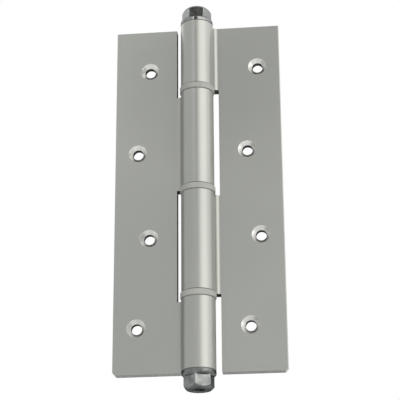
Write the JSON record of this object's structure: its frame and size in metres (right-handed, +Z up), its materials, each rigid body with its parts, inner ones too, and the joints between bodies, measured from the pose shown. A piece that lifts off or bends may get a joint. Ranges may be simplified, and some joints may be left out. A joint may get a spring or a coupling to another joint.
{
  "type": "spring hinge",
  "caption": "Self-closing spring hinge with extruded leaves, staggered countersunk screw holes, flanged bushes and a hexagon tension plug at each end of the barrel.",
  "frame": {"origin": "middle of the pin axis, which is also the middle of the bounding box with the hinge opened flat", "axes": "+Z up along the pin, -X towards the left leaf, +X towards the right leaf, +Y out of the flat mounting faces; the countersinks face -Y"},
  "size_m": [0.0828, 0.0172, 0.198],
  "materials": {
    "anodised_aluminium": "natural anodised extrusion, satin",
    "plated_steel": "bright zinc plate",
    "bush_nylon": "moulded grey nylon, matte",
    "spring_steel": "oiled spring steel",
    "pivot_steel": "ground steel"
  },
  "bodies": {
    "frame_side": {"left_leaf": "anodised_aluminium", "upper_bush": "bush_nylon", "lower_bush": "bush_nylon", "middle_pivot_tube": "pivot_steel", "lower_pawl_sleeve": "spring_steel", "torsion_spring": "spring_steel"},
    "door_side": {"right_leaf": "anodised_aluminium", "middle_bush": "bush_nylon", "upper_pivot_tube": "pivot_steel", "lower_pivot_tube": "pivot_steel", "upper_pawl_sleeve": "spring_steel"},
    "upper_plug": {"upper_tension_plug": "plated_steel", "upper_spring_pin": "pivot_steel"},
    "lower_plug": {"lower_tension_plug": "plated_steel", "lower_spring_pin": "pivot_steel"}
  },
  "joints": [
    {"name": "leaf_swing", "type": "hinge", "parent": "frame_side", "child": "door_side", "pos_m": [0, 0, 0], "axis": [0, 0, -1], "range_deg": [0, 180], "stiffness_Nm_per_rad": 0.33, "deforming": ["torsion_spring"]},
    {"name": "upper_plug_turn", "type": "hinge", "parent": "door_side", "child": "upper_plug", "pos_m": [0, 0, 0.085], "axis": [0, 0, -1], "range_deg": [0, 180], "deforming": ["torsion_spring", "upper_pawl_sleeve"]},
    {"name": "lower_plug_turn", "type": "hinge", "parent": "frame_side", "child": "lower_plug", "pos_m": [0, 0, -0.085], "axis": [0, 0, 1], "range_deg": [0, 180], "deforming": ["torsion_spring", "lower_pawl_sleeve"]}
  ]
}
